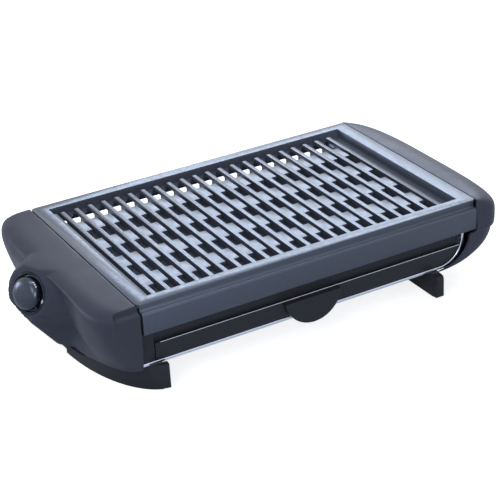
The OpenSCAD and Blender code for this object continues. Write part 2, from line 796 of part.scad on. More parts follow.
grip_x = -7;
module tray_grip() {
    color("#232428") stand() difference() {
        translate([grip_x, 0, tray_edge]) along_y(-tray_face - 7.2, -tray_face - 0.2) difference() {
            translate([0, grip_rise]) circle(grip_r, $fn = 96);
            translate([-50, -0.4]) square([100, 60]);
        }
        grip_holes(16);
    }
}

module grip_holes(depth) {
    for (x = [-12, 12])
        translate([grip_x + x, -120, 40]) rotate([90, 0, 0]) cylinder(h = depth, r = 1.6);
}

module tray_screws() {
    color("#8b8e96") stand() for (x = [-12, 12])
        translate([grip_x + x, -127.3, 40]) rotate([90, 0, 0]) cylinder(h = 8, r = 1.5);
}

grill_plate();
plate_pegs();
left_housing();
left_bottom_cover();
dial_cup();
right_end_cap();
base_trough();
trough_edge_trim();
front_rail();
rear_rail();
left_bulkhead();
right_bulkhead();
heating_element();
element_bushes();
element_terminals();
element_supports();
thermostat_body();
thermostat_bracket();
thermostat_nut();
sensor_bulb();
terminal_block();
indicator_lamp();
lamp_holder();
cord_inlet();
front_left_foot();
rear_left_foot();
front_right_foot();
rear_right_foot();
foot_pads();
cover_screws();
foot_screws();
rail_screws();
tray_runners();
knob();
knob_pointer();
thermostat_shaft();
tray_pan();
tray_front();
tray_grip();
tray_screws();
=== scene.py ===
# %% [markdown]
# # An electric table grill, dressed piece by piece
# The grill is a low, wide appliance: a cast plate with ribs lies over a heating tube, a moulded
# housing with a dial closes one end, a moulded cap closes the other, and a drip tray pulls out
# at the front. The solids come from a CAD model that is loaded as a fixed frame. Every cell
# below either gives one of those solids a believable surface or replaces it by a finer mesh
# that fills the same place.

# %% Load the frame
import math

import bmesh
import bpy
import numpy as np
from mathutils import Matrix, Vector


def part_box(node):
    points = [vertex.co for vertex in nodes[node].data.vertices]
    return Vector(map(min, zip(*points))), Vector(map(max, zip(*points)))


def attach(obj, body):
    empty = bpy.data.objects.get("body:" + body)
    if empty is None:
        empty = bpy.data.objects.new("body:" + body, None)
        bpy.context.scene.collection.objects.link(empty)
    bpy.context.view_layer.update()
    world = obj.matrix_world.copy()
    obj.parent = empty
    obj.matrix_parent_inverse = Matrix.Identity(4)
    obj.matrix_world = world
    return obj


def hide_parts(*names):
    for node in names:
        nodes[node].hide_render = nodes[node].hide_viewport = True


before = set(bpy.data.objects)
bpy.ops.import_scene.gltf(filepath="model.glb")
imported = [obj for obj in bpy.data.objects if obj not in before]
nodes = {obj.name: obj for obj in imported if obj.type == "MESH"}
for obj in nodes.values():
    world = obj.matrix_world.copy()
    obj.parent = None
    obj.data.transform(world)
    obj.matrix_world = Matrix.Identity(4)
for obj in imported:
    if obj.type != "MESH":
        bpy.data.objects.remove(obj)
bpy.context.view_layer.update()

# %% [markdown]
# ## Units and the plate's centre
# The drawing of the grill is easiest to read in millimetres measured from the middle of the
# plate, because nearly everything is symmetric about it. The frame's origin is the middle of
# the whole box instead, so one shift along X joins the two. Reading the shift from the plate's
# own solid keeps the two models together even if a size changes later.

# %% Millimetres from the plate's centre
plate_low, plate_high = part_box("grill_plate")
SHIFT = (plate_low.x + plate_high.x) / 2
RIM_TOP = round(plate_high.z * 1000, 3)


def at(x, y, z):
    """A point in millimetres from the plate's centre, as a frame point in metres."""
    return Vector((x / 1000 + SHIFT, y / 1000, z / 1000))


def drawn(point):
    """A frame point in metres as millimetres from the plate's centre."""
    return Vector(((point.x - SHIFT) * 1000, point.y * 1000, point.z * 1000))


print("shift", round(SHIFT * 1000, 3), "mm, rim top", RIM_TOP, "mm")

# %% [markdown]
# ## The camera
# A product view of a low appliance is taken from in front, about 27 degrees above the table
# and turned 28 degrees to the left, with a long lens so that the far end doesn't shrink much.
# The camera could be aimed with a Track To constraint, but a matrix built from its own three
# axes gives the exact turn and the slight roll in one step, and it needs no helper object.

# %% Place the camera
AZIMUTH, ELEVATION, ROLL = math.radians(-27.88), math.radians(27.085), math.radians(-3.561)
DISTANCE, SLIDE_RIGHT, SLIDE_UP = 1.72614, -0.000494, -0.048958
back = Vector((math.sin(AZIMUTH) * math.cos(ELEVATION),
               -math.cos(AZIMUTH) * math.cos(ELEVATION), math.sin(ELEVATION)))
level = Vector((0, 0, 1)).cross(back).normalized()
upright = back.cross(level)
right = math.cos(ROLL) * level + math.sin(ROLL) * upright
up = -math.sin(ROLL) * level + math.cos(ROLL) * upright
camera = bpy.data.objects.new("camera", bpy.data.cameras.new("camera"))
bpy.context.scene.collection.objects.link(camera)
camera.data.sensor_width = 36
camera.data.lens = 1615.25 / 500 * 36
place = at(0, 0, RIM_TOP) + DISTANCE * back + SLIDE_RIGHT * right + SLIDE_UP * up
camera.matrix_world = Matrix.Translation(place) @ Matrix((right, up, back)).transposed().to_4x4()
bpy.context.scene.camera = camera
print("camera at", [round(v, 3) for v in place], "lens", round(camera.data.lens, 1))

# %% [markdown]
# ## Floor, air and lamps
# The grill stands in a pale studio. The floor catches a soft shadow, and it looks white to the
# camera because a little light is added for camera rays only, so the grill itself isn't
# bleached by it. The world does the same for reflections. Five soft lamps do the rest. Two
# stand behind the grill and draw the pale sheen on the metal rim and on the mouldings, a long
# one hangs over it, and two in front lift the skirt and the dial. Most are slightly blue, since
# dark plastic shows mainly the colour of what it reflects.

# %% Studio
def new_material(name):
    """An empty node material with its output node."""
    material = bpy.data.materials.new(name)
    material.use_nodes = True
    material.node_tree.nodes.clear()
    output = material.node_tree.nodes.new("ShaderNodeOutputMaterial")
    return material, material.node_tree.nodes, material.node_tree.links, output


floor_mat, n, l, output = new_material("studio_floor")
shade = n.new("ShaderNodeBsdfDiffuse")
shade.inputs["Color"].default_value = (0.82, 0.82, 0.83, 1)
glow = n.new("ShaderNodeEmission")
glow.inputs["Strength"].default_value = 0.75
both = n.new("ShaderNodeAddShader")
pick = n.new("ShaderNodeMixShader")
rays = n.new("ShaderNodeLightPath")
l.new(shade.outputs[0], both.inputs[0])
l.new(glow.outputs[0], both.inputs[1])
l.new(rays.outputs["Is Camera Ray"], pick.inputs[0])
l.new(shade.outputs[0], pick.inputs[1])
l.new(both.outputs[0], pick.inputs[2])
l.new(pick.outputs[0], output.inputs[0])

mesh = bpy.data.meshes.new("floor")
mesh.from_pydata([(-6, -6, 0), (6, -6, 0), (6, 6, 0), (-6, 6, 0)], [], [(0, 1, 2, 3)])
floor = bpy.data.objects.new("floor", mesh)
bpy.context.scene.collection.objects.link(floor)
floor.data.materials.append(floor_mat)

world = bpy.data.worlds.new("studio_air")
bpy.context.scene.world = world
world.use_nodes = True
n, l = world.node_tree.nodes, world.node_tree.links
n.clear()
output = n.new("ShaderNodeOutputWorld")
rays = n.new("ShaderNodeLightPath")
seen = n.new("ShaderNodeMath")
seen.operation = "MAXIMUM"
through = n.new("ShaderNodeMath")
through.operation = "MAXIMUM"
l.new(rays.outputs["Is Camera Ray"], seen.inputs[0])
l.new(rays.outputs["Is Transmission Ray"], seen.inputs[1])
l.new(seen.outputs[0], through.inputs[0])
l.new(rays.outputs["Is Glossy Ray"], through.inputs[1])
air = n.new("ShaderNodeBackground")
air.inputs["Color"].default_value = (0.86, 0.92, 1.0, 1)
air.inputs["Strength"].default_value = 0.34
white = n.new("ShaderNodeBackground")
white.inputs["Color"].default_value = (1, 1, 1, 1)
white.inputs["Strength"].default_value = 1.0
pick = n.new("ShaderNodeMixShader")
l.new(through.outputs[0], pick.inputs[0])
l.new(air.outputs[0], pick.inputs[1])
l.new(white.outputs[0], pick.inputs[2])
l.new(pick.outputs[0], output.inputs[0])


def lamp(name, where, aim, size, power, tint=(1, 1, 1)):
    """A square soft lamp that points at aim."""
    light = bpy.data.lights.new(name, "AREA")
    light.shape = "RECTANGLE"
    light.size, light.size_y = size
    light.energy = power
    light.color = tint
    piece = bpy.data.objects.new(name, light)
    bpy.context.scene.collection.objects.link(piece)
    piece.location = where
    turn = (Vector(aim) - Vector(where)).to_track_quat("-Z", "Y")
    piece.rotation_euler = turn.to_euler()
    return piece


COOL = (0.78, 0.87, 1.0)
lamp("lamp_back_right", (1.25, 1.75, 1.15), (0.1, 0, 0.1), (1.4, 0.8), 22, COOL)
lamp("lamp_back_left", (-1.95, 1.6, 0.5), (-0.25, 0, 0.07), (1.1, 0.6), 16, COOL)
lamp("lamp_front_left", (-1.5, -1.0, 1.3), (-0.1, 0, 0.05), (0.9, 0.7), 8, COOL)
lamp("lamp_front", (-0.9, -2.6, 0.9), (0, 0, 0.05), (1.2, 0.8), 18)
lamp("lamp_over", (0, 0.05, 2.0), (0, 0, 0), (2.4, 0.35), 15, COOL)

# %% [markdown]
# ## Where a texture lives
# Every finish below is made by nodes alone, so it needs coordinates to grow from. UV maps would
# have to be unwrapped for each piece, and generated coordinates stretch with a piece's box.
# Object coordinates are the frame's own metres here, because every piece keeps its origin at
# the frame's origin. A grain of a given size is then the same size on every piece, and it
# stays on the piece when the piece moves.

# %% Helpers for the finishes
def shaded(name, colour, roughness, metallic=0.0):
    """A material with one Principled shader. Returns it, its shader, its nodes and its links."""
    material, n, l, output = new_material(name)
    shader = n.new("ShaderNodeBsdfPrincipled")
    shader.inputs["Base Color"].default_value = (*colour, 1)
    shader.inputs["Roughness"].default_value = roughness
    shader.inputs["Metallic"].default_value = metallic
    l.new(shader.outputs[0], output.inputs["Surface"])
    return material, shader, n, l


def speck(n, l, per_metre, detail=2.0, stretch=(1, 1, 1)):
    """A noise whose specks are about 1 / per_metre apart, on the piece's own metres."""
    place = n.new("ShaderNodeTexCoord")
    scale = n.new("ShaderNodeMapping")
    scale.inputs["Scale"].default_value = stretch
    noise = n.new("ShaderNodeTexNoise")
    noise.inputs["Scale"].default_value = per_metre
    noise.inputs["Detail"].default_value = detail
    l.new(place.outputs["Object"], scale.inputs["Vector"])
    l.new(scale.outputs["Vector"], noise.inputs["Vector"])
    return noise.outputs["Fac"]


def spread(n, l, source, low, high, start=0.3, end=0.7):
    """Maps a noise between two numbers."""
    band = n.new("ShaderNodeMapRange")
    band.inputs["From Min"].default_value = start
    band.inputs["From Max"].default_value = end
    band.inputs["To Min"].default_value = low
    band.inputs["To Max"].default_value = high
    l.new(source, band.inputs["Value"])
    return band.outputs["Result"]


def tinted(n, l, source, dark, light, start=0.3, end=0.7):
    """Maps a noise between two colours."""
    ramp = n.new("ShaderNodeValToRGB")
    ramp.color_ramp.elements[0].position = start
    ramp.color_ramp.elements[1].position = end
    ramp.color_ramp.elements[0].color = (*dark, 1)
    ramp.color_ramp.elements[1].color = (*light, 1)
    l.new(source, ramp.inputs["Fac"])
    return ramp.outputs["Color"]


def dimpled(n, l, shader, height, strength, depth):
    """Feeds a height into the shader's normal as a bump of that depth in metres."""
    bump = n.new("ShaderNodeBump")
    bump.inputs["Strength"].default_value = strength
    bump.inputs["Distance"].default_value = depth
    l.new(height, bump.inputs["Height"])
    l.new(bump.outputs["Normal"], shader.inputs["Normal"])
    return bump


print("helpers ready")

# %% [markdown]
# ## The coated casting
# The plate is a casting with a baked non-stick coat. Such a coat is satin, a little uneven
# like orange peel, and full of tiny specks. One noise could drive everything, but the specks
# and the peel have different sizes, so two noises are used: a fine one for colour and grain
# and a broad one for gloss. The cavities stay duller than the rim, because fat and scouring
# never polish them, and the height of the surface is enough to tell the two apart.

# %% Plate coat
plate_coat, shader, n, l = shaded("plate_coat", (0.066, 0.074, 0.106), 0.32)
fine = speck(n, l, 2600, 3)
broad = speck(n, l, 190, 3)
l.new(tinted(n, l, fine, (0.030, 0.032, 0.044), (0.052, 0.056, 0.076), 0.35, 0.68),
      shader.inputs["Base Color"])
place = n.new("ShaderNodeTexCoord")
apart = n.new("ShaderNodeSeparateXYZ")
l.new(place.outputs["Object"], apart.inputs[0])
sunk = spread(n, l, apart.outputs["Z"], 0.16, 0.0, (RIM_TOP - 9) / 1000, (RIM_TOP - 1.5) / 1000)
gloss = spread(n, l, broad, 0.28, 0.37)
total = n.new("ShaderNodeMath")
total.operation = "ADD"
l.new(gloss, total.inputs[0])
l.new(sunk, total.inputs[1])
l.new(total.outputs[0], shader.inputs["Roughness"])
shader.inputs["Specular IOR Level"].default_value = 1.0
shader.inputs["Specular Tint"].default_value = (0.62, 0.76, 1.0, 1)
peel = n.new("ShaderNodeMath")
peel.operation = "ADD"
l.new(fine, peel.inputs[0])
l.new(spread(n, l, broad, 0.0, 2.2), peel.inputs[1])
dimpled(n, l, shader, peel.outputs[0], 0.35, 0.00006)
print("plate coat", len(n), "nodes")

# %% [markdown]
# ## Moulded plastic
# The housing and the cap are moulded in slate-blue plastic with a spark-eroded grain. Five
# plastics share that recipe and differ in colour, gloss and grain, so a function makes them.
# The grain is a bump of a few hundredths of a millimetre: enough to break a reflection up
# into satin, too little to be seen as bumps. A second, broad noise lets the gloss drift, as
# handled plastic does.

# %% Plastics
def moulded(name, colour, gloss, grain_depth, drift=0.05, grain=3200, shine=0.3):
    """Moulded plastic with an eroded grain and a gloss that drifts."""
    material, shader, n, l = shaded(name, colour, gloss)
    shader.inputs["Specular IOR Level"].default_value = shine
    shader.inputs["Specular Tint"].default_value = (0.62, 0.74, 1.0, 1)
    fine = speck(n, l, grain, 2)
    broad = speck(n, l, 45, 4)
    l.new(spread(n, l, broad, gloss - drift, gloss + drift), shader.inputs["Roughness"])
    dark = tuple(0.93 * c for c in colour)
    light = tuple(1.08 * c for c in colour)
    l.new(tinted(n, l, fine, dark, light), shader.inputs["Base Color"])
    dimpled(n, l, shader, fine, 0.4, grain_depth)
    return material


housing_slate = moulded("housing_slate", (0.044, 0.045, 0.063), 0.40, 0.00003, shine=0.14)
cap_slate = moulded("cap_slate", (0.048, 0.050, 0.073), 0.37, 0.00003, shine=0.16)
black_satin = moulded("black_satin", (0.027, 0.027, 0.032), 0.33, 0.00002, shine=0.2)
cup_slate = moulded("cup_slate", (0.026, 0.028, 0.038), 0.30, 0.00002)
knob_gloss = moulded("knob_gloss", (0.006, 0.0065, 0.009), 0.24, 0.000004, drift=0.02, shine=1.0)
print("plastics", [m.name for m in (housing_slate, cap_slate, black_satin, cup_slate, knob_gloss)])

# %% [markdown]
# ## Sheet steel and bright trim
# The trough, the tray and the small brackets are plain sheet, which shows the marks of the
# rolling mill as long, very fine streaks. The trim under the front is the same sheet, buffed
# bright. A noise squeezed along one axis gives the streaks: they are many times longer than
# they are wide. Driving the roughness with them reads as brushed metal without any image.

# %% Metals
def rolled(name, colour, gloss, along=(0.02, 1, 1), depth=0.000015, soil=None):
    """Bare metal with rolling marks along one axis, dulled in patches."""
    material, shader, n, l = shaded(name, colour, gloss, 1.0)
    marks = speck(n, l, 2400, 2, along)
    patch = speck(n, l, 28, 4)
    both = n.new("ShaderNodeMath")
    both.operation = "ADD"
    l.new(spread(n, l, marks, gloss - 0.07, gloss + 0.07), both.inputs[0])
    l.new(spread(n, l, patch, 0.0, 0.10), both.inputs[1])
    l.new(both.outputs[0], shader.inputs["Roughness"])
    if soil:
        l.new(tinted(n, l, patch, soil, colour, 0.38, 0.62), shader.inputs["Base Color"])
    dimpled(n, l, shader, marks, 0.3, depth)
    return material


trim_bright = rolled("trim_bright", (0.70, 0.77, 0.90), 0.20)
trough_steel = rolled("trough_steel", (0.52, 0.55, 0.60), 0.30)
wall_steel = rolled("wall_steel", (0.42, 0.43, 0.46), 0.36, (1, 0.02, 1))
tray_steel = rolled("tray_steel", (0.46, 0.48, 0.52), 0.34, (0.02, 1, 1))
screw_steel = rolled("screw_steel", (0.40, 0.41, 0.44), 0.30, (1, 1, 1), soil=(0.30, 0.29, 0.28))
shaft_steel = rolled("shaft_steel", (0.52, 0.54, 0.58), 0.26, (1, 1, 0.05))
sheath = rolled("sheath", (0.17, 0.155, 0.145), 0.44, (1, 1, 1), 0.00004, soil=(0.085, 0.055, 0.038))
brass = rolled("brass", (0.62, 0.47, 0.22), 0.30, (1, 1, 1), soil=(0.45, 0.32, 0.15))
copper = rolled("copper", (0.66, 0.34, 0.19), 0.33, (1, 0.05, 1), soil=(0.40, 0.20, 0.12))
print("metals", 9)

# %% [markdown]
# ## Ceramic, rubber, lamp and paint
# The last finishes are small. The bushes round the tube and the thermostat's block are unglazed
# ceramic, matt and faintly speckled by firing. The strips under the feet are rubber, which is
# matt and slightly dusty. The lamp's cap is clear moulded plastic, and the mark on the knob is
# pad-printed paint with a worn rim. Each one is a few nodes, with its own grain.

# %% Small finishes
ceramic, shader, n, l = shaded("ceramic", (0.72, 0.68, 0.58), 0.55)
l.new(tinted(n, l, speck(n, l, 900, 4), (0.55, 0.50, 0.41), (0.78, 0.75, 0.67), 0.30, 0.48),
      shader.inputs["Base Color"])
dimpled(n, l, shader, speck(n, l, 1500, 3), 0.5, 0.00005)

rubber, shader, n, l = shaded("rubber", (0.012, 0.012, 0.013), 0.78)
l.new(tinted(n, l, speck(n, l, 320, 5), (0.010, 0.010, 0.011), (0.030, 0.029, 0.028), 0.4, 0.75),
      shader.inputs["Base Color"])
dimpled(n, l, shader, speck(n, l, 1800, 2), 0.5, 0.00008)

lamp_clear, shader, n, l = shaded("lamp_clear", (0.93, 0.95, 1.0), 0.12)
shader.inputs["Transmission Weight"].default_value = 0.55
shader.inputs["IOR"].default_value = 1.49
l.new(spread(n, l, speck(n, l, 700, 2), 0.08, 0.20), shader.inputs["Roughness"])
dimpled(n, l, shader, speck(n, l, 900, 2), 0.2, 0.00002)

mark_white, shader, n, l = shaded("mark_white", (0.80, 0.82, 0.86), 0.42)
l.new(tinted(n, l, speck(n, l, 1900, 4), (0.60, 0.62, 0.66), (0.86, 0.88, 0.92), 0.30, 0.45),
      shader.inputs["Base Color"])
dimpled(n, l, shader, speck(n, l, 2600, 2), 0.4, 0.00003)
print("small finishes", [m.name for m in (ceramic, rubber, lamp_clear, mark_white)])

# %% [markdown]
# ## Solids that keep their own shape
# The parts inside the grill are seen through the slots or when the plate is lifted, and their
# CAD shape is already right. Nothing is modelled again for them: their material slots are
# filled with the finishes above. The slot names come from the record, so one table is enough,
# and a few solids then get a finish of their own: the end walls take the black plastic in place
# of their steel sheet, as painted shade for the dark gaps beside the trough.

# %% Dress the CAD solids
FINISH = {
    "plate_enamel": plate_coat, "housing_plastic": housing_slate, "cap_plastic": cap_slate,
    "dark_plastic": black_satin, "knob_plastic": knob_gloss, "pointer_black": knob_gloss,
    "steel_sheet": trough_steel, "bright_strip": trim_bright, "element_sheath": sheath,
    "ceramic": ceramic, "brass_tab": brass, "copper_bulb": copper, "lamp_clear": lamp_clear,
    "rubber_pad": rubber, "screw_steel": screw_steel, "tray_metal": tray_steel,
    "tray_plastic": black_satin,
}
for name, solid in nodes.items():
    for i in range(len(solid.data.materials)):
        solid.data.materials[i] = FINISH[solid.data.materials[i].name]
nodes["thermostat_bracket"].data.materials[0] = wall_steel
# Painted shade: the end walls take the black plastic instead of steel so the gaps beside the trough
# read dark.
for name in ("left_bulkhead", "right_bulkhead"):
    nodes[name].data.materials[0] = black_satin
for name in ("thermostat_shaft", "thermostat_nut"):
    nodes[name].data.materials[0] = shaft_steel

# %% [markdown]
# ## Making a piece
# Each visible solid now gets a finer mesh in its place. Two jobs come back every time: merge
# the triangles and round the sharp edges of a solid, and finish a mesh as a riding piece.
# They are written once here. Rounding matters more than anything else
# on a hard object, because a real edge always has a small radius that catches a line of light.

# %% Piece helpers
def piece(name, mesh, body, finish, *stands_for, sharp=32):
    """A finished piece: shaded, riding on its body and standing for its solids."""
    thing = bpy.data.objects.new(name, mesh)
    bpy.context.scene.collection.objects.link(thing)
    mesh.materials.clear()
    mesh.materials.append(finish)
    mesh.shade_smooth()
    mesh.set_sharp_from_angle(angle=math.radians(sharp))
    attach(thing, body)
    if stands_for:
        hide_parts(*stands_for)
    return thing


def applied(mesh, setup):
    """The mesh after a modifier that setup adds to a passing object."""
    holder = bpy.data.objects.new("holder", mesh)
    bpy.context.scene.collection.objects.link(holder)
    setup(holder)
    bpy.context.view_layer.update()
    view = holder.evaluated_get(bpy.context.evaluated_depsgraph_get())
    result = bpy.data.meshes.new_from_object(view)
    bpy.data.objects.remove(holder)
    return result


def softened(solid, radius, steps=3, corner=32):
    """A copy of a CAD solid's mesh with its flats merged and its edges rounded, in mm."""
    bm = bmesh.new()
    bm.from_mesh(nodes[solid].data)
    bmesh.ops.remove_doubles(bm, verts=bm.verts, dist=2e-6)
    bmesh.ops.dissolve_limit(bm, angle_limit=math.radians(0.4), verts=bm.verts, edges=bm.edges)
    mesh = bpy.data.meshes.new(solid + "_soft")
    bm.to_mesh(mesh)
    bm.free()

    def round_edges(holder):
        bevel = holder.modifiers.new("round", "BEVEL")
        bevel.width = radius / 1000
        bevel.segments = steps
        bevel.limit_method = "ANGLE"
        bevel.angle_limit = math.radians(corner)

    return applied(mesh, round_edges)


def dressed(solid, body, finish, radius, **more):
    """A rounded copy of one solid, standing for it."""
    thing = piece(solid + "_piece", softened(solid, radius, **more), body, finish, solid)
    print(thing.name, len(thing.data.polygons), "faces")
    return thing

# %% [markdown]
# ## The grill plate
# The plate is one casting: a rim with a rounded lip, a front skirt that covers the tray's
# housing, and twenty-two bars with slotted ledges that let the fat through. It could be rebuilt
# from a profile and an array, but the solid already has every slot in its place. Rounding all
# its edges by half a millimetre turns it into a casting, since no mould gives a sharp edge.

# %% Plate
dressed("grill_plate", "plate", plate_coat, 0.55, steps=2)
dressed("plate_pegs", "plate", plate_coat, 0.5, steps=2)

# %% [markdown]
# ## Bow-shaped mouldings
# Both ends of the grill are bows: from above they bulge outwards, and from the side they roll
# over the rim and curve back under. Such a shape is a stack of level outlines. Each row gives a
# height, the seam's x, the outermost x, half the depth and how square the outline is. The
# corners at the back are softer than those at the front. The rows are joined by a smooth
# curve. Subdivision surfaces could smooth a rough cage too, but the stack keeps every size
# exact, and its rows can be read off a drawing.

# %% Stack of outlines
WALL, LIP_R = 2.8, 0.9
TURN_Z = 60
ROUND, BACK_SOFTER = 1.75, 0.72
INWARD = 45
FACE_R, CUP_R = 27.7, 21.6
DIAL_TILT, DIAL_YAW = math.radians(20), math.radians(24)
dial_out = np.array([-math.cos(DIAL_TILT) * math.cos(DIAL_YAW),
                     -math.cos(DIAL_TILT) * math.sin(DIAL_YAW), math.sin(DIAL_TILT)])
dial_seat = np.array([-259.6, 0.0, 70.8])
face_seat = dial_seat + (-0.1, 1.4, 1.35)


def smooth_rows(rows, steps):
    """Rows of numbers joined by a smooth curve with that many steps between two rows."""
    rows = np.array(rows, float)
    out = []
    for i in range(len(rows) - 1):
        p0, p1 = rows[max(i - 1, 0)], rows[i]
        p2, p3 = rows[i + 1], rows[min(i + 2, len(rows) - 1)]
        for t in np.arange(steps) / steps:
            out.append(p1 + 0.5 * t * (p2 - p0) + t * t * (p0 - 2.5 * p1 + 2 * p2 - 0.5 * p3)
                       + t ** 3 * (1.5 * (p1 - p2) + 0.5 * (p3 - p0)))
    return np.array(out + [rows[-1]])


def outlines(rows, angles, side, low=None):
    """Points of the half outlines, one line per row, in mm; low is the lower edge's height."""
    a = np.radians(angles)[None, :]
    z = rows[:, :1] + 0 * a
    under = z < TURN_Z
    if low is not None:
        squeeze = (TURN_Z - low[None, :]) / (TURN_Z - rows[-1, 0])
        z = np.where(under, TURN_Z - (TURN_Z - z) * squeeze, z)
    seam, far, half, square = (np.where(
        under, np.interp(z, rows[::-1, 0], rows[::-1, i]), rows[:, i:i + 1]) for i in range(1, 5))
    square = np.where(a > 0, ROUND + BACK_SOFTER * (square - ROUND), square)
    r = (np.abs(np.cos(a)) ** square + np.abs(np.sin(a)) ** square) ** (-1 / square)
    return np.stack([side * (seam + (far - seam) * np.cos(a) * r), half * np.sin(a) * r, z], axis=2)


def inner_rows(rows, top):
    """The rows of the inner skin, one wall inside."""
    z, seam, far, half, square = rows.T
    flat = np.clip(1 - (top - z) / 12, 0, None)
    return np.stack([z - WALL * flat, seam, seam + (far - seam) * (1 - WALL / INWARD),
                     half - WALL, square], axis=1)


def ramp(value, start, end):
    """0 at start and 1 at end, with smooth ends; start may be above end."""
    c = np.clip((value - start) / (end - start), 0, 1)
    return c * c * (3 - 2 * c)


print("dial at", dial_seat, "axis", dial_out.round(3))

# %% [markdown]
# ## From two skins to a shell
# A moulding has a thickness, which shows at its open edge. The shell is made of an outer and
# an inner grid of points that are sewn together along their borders. The outer skin also rolls
# in over the last 0.9 mm before the seam, so that the joint with the plate reads as two
# rounded lips with a dark line between them.

# %% Shell builder
def rolled_in(skin, side, radius):
    """Pulls the skin inwards near the seam and near its lower edge, as a rounded lip."""
    across = np.gradient(skin, axis=1)
    down = np.gradient(skin, axis=0)
    normal = np.cross(across, down)
    normal /= np.linalg.norm(normal, axis=2, keepdims=True) + 1e-9
    centre = np.array([side * 190.0, 0.0, 50.0])
    outward = np.sign(np.sum(normal * (skin - centre), axis=2, keepdims=True))
    from_seam = side * (skin[:, :, 0] - skin[:, :1, 0])
    from_edge = skin[:, :, 2] - skin[-1:, :, 2]
    gap = np.clip(np.minimum(from_seam, from_edge), 0, radius)
    pull = radius - np.sqrt(np.clip(radius ** 2 - (radius - gap) ** 2, 0, None))
    return skin - normal * outward * pull[:, :, None]


def shell(name, outer, inner):
    """A closed mesh from two grids of the same size, in frame metres."""
    rows, cols, _ = outer.shape
    bm = bmesh.new()
    skins = [[[bm.verts.new(at(*p)) for p in line] for line in skin] for skin in (outer, inner)]
    for k, skin in enumerate(skins):
        for i in range(rows - 1):
            for j in range(cols - 1):
                quad = (skin[i][j], skin[i][j + 1], skin[i + 1][j + 1], skin[i + 1][j])
                bm.faces.new(quad if k == 0 else quad[::-1])
    loop = [(0, j) for j in range(cols)] + [(i, cols - 1) for i in range(1, rows)]
    loop += [(rows - 1, j) for j in range(cols - 2, -1, -1)] + [(i, 0) for i in range(rows - 2, 0, -1)]
    for (a, b), (c, d) in zip(loop, loop[1:] + loop[:1]):
        bm.faces.new((skins[0][a][b], skins[1][a][b], skins[1][c][d], skins[0][c][d]))
    bmesh.ops.remove_doubles(bm, verts=bm.verts, dist=1e-6)
    bmesh.ops.recalc_face_normals(bm, faces=bm.faces)
    mesh = bpy.data.meshes.new(name)
    bm.to_mesh(mesh)
    bm.free()
    return mesh


def lip_rows(rows):
    """Extra rows close to the top seam, where the lip is rounded."""
    first = rows[0].copy()
    extra = []
    for reach in (0.01, 0.04, 0.1, 0.2, 0.3):
        row = first.copy()
        row[2] = row[1] + reach
        extra.append(row)
    last = rows[-1]
    low = []
    for rise in (0.9, 0.6, 0.35, 0.18, 0.06):
        row = last + (rows[-2] - last) * rise / (rows[-2][0] - last[0])
        low.append(row)
    return np.array(extra + list(rows[:-1]) + low + [last])


SEAM_ANGLES = [89.99, 89.95, 89.87, 89.75, 89.55, 89.3, 89.0, 88.6]
print("lip angles", len(SEAM_ANGLES))

# %% [markdown]
# ## The control housing
# The left end holds the thermostat. Its dial sits in a round pod that grows out of the bow,
# tilted up and turned to the front so that it can be read. The pod is made by pulling the
# points of the bow out to the dial's face, and by a keel that leads from the pod down to the
# lower edge. In front of the pod the bow is pushed in a little, as a valley. Where the valley
# meets the pod's flank the two are not blended, so they leave a crease. Beside the plate the
# bow is cut back to the plate's own lip, cove and ledge, and it steps out again further left.
# The lower edge climbs towards the seams. A sculpted mesh could look the same, but formulas
# give a surface that can be changed by one number.

# %% Housing rows
HOUSING_ROWS = [
    [97, 200.3, 200.7, 133, 1.2],
    [96.8, 200.3, 216.3, 135.5, 2.2],
    [96, 199.7, 233.3, 137.5, 3.6],
    [93, 198.7, 242, 138.7, 5],
    [88, 198.7, 245.8, 139, 5.5],
    [79, 199, 247, 139, 5.2],
    [65, 199, 245.4, 138.6, 4.4],
    [49, 199.3, 242, 137.8, 3.5],
    [33, 200, 237, 136.6, 2.6],
    [21, 201.5, 233.5, 135.2, 2.05],
    [12.4, 202.5, 231, 134, 1.75],
]
LOW_EDGE, LOW_RISE = 12.4, 14.8
STEP_X, STEP_WIDE, STEP_DEEP = -225.6, 1.6, 12
EDGE_Y, EDGE_LIP, COVE_R, LEDGE_R = 130.2, 1.2, 2.5, 3
COVE_TOP, COVE_LOW, LEDGE_LOW, LEDGE_IN = 5.3, 7.8, 10.8, 4


def low_edge(deep):
    """Height of the housing's lower edge, which climbs towards both seams, in mm."""
    return LOW_EDGE + LOW_RISE * ramp(np.abs(deep), 40, 112)


def arc(radius, along):
    """The height of a quarter circle at a distance along it."""
    return np.sqrt(np.clip(radius ** 2 - np.clip(along, 0, radius) ** 2, 0, None))


def edge_reach(high):
    """How far the plate's edge stands out at a height: lip, cove, rounded ledge, skirt."""
    below = RIM_TOP - high
    lip = arc(EDGE_LIP, EDGE_LIP - below)
    cove = EDGE_LIP + COVE_R - arc(COVE_R, below - COVE_TOP)
    ledge = LEDGE_IN + arc(LEDGE_R, LEDGE_LOW - below)
    return np.where(below < EDGE_LIP, lip, np.where(below < COVE_LOW, cove, ledge))


def flat_front(skin):
    """Beside the plate the bow is cut back to the plate's own edge, with a crisp step."""
    free = STEP_DEEP * ramp(skin[:, :, 0], STEP_X, STEP_X - STEP_WIDE)
    limit = EDGE_Y + edge_reach(skin[:, :, 2]) + free
    out = skin.copy()
    out[:, :, 1] = np.sign(skin[:, :, 1]) * np.minimum(np.abs(skin[:, :, 1]), limit)
    return out


POD_R, SEAT_R, VALLEY, EASE = 44, FACE_R, 9, 1.5
KEEL_HALF, KEEL_SOFT, KEEL_SLOPE, KEEL_BACK, KEEL_Z = 38, 24, 0.78, 8, 46.8
UNDER, UNDER_R = (-0.464, 0.296, -0.835), 24.2


def eased(t, r):
    """t where it is above r, 0 where it is below -r, and a rounded bend in between."""
    return np.where(t > r, t, np.clip(t + r, 0, None) ** 2 / (4 * r))


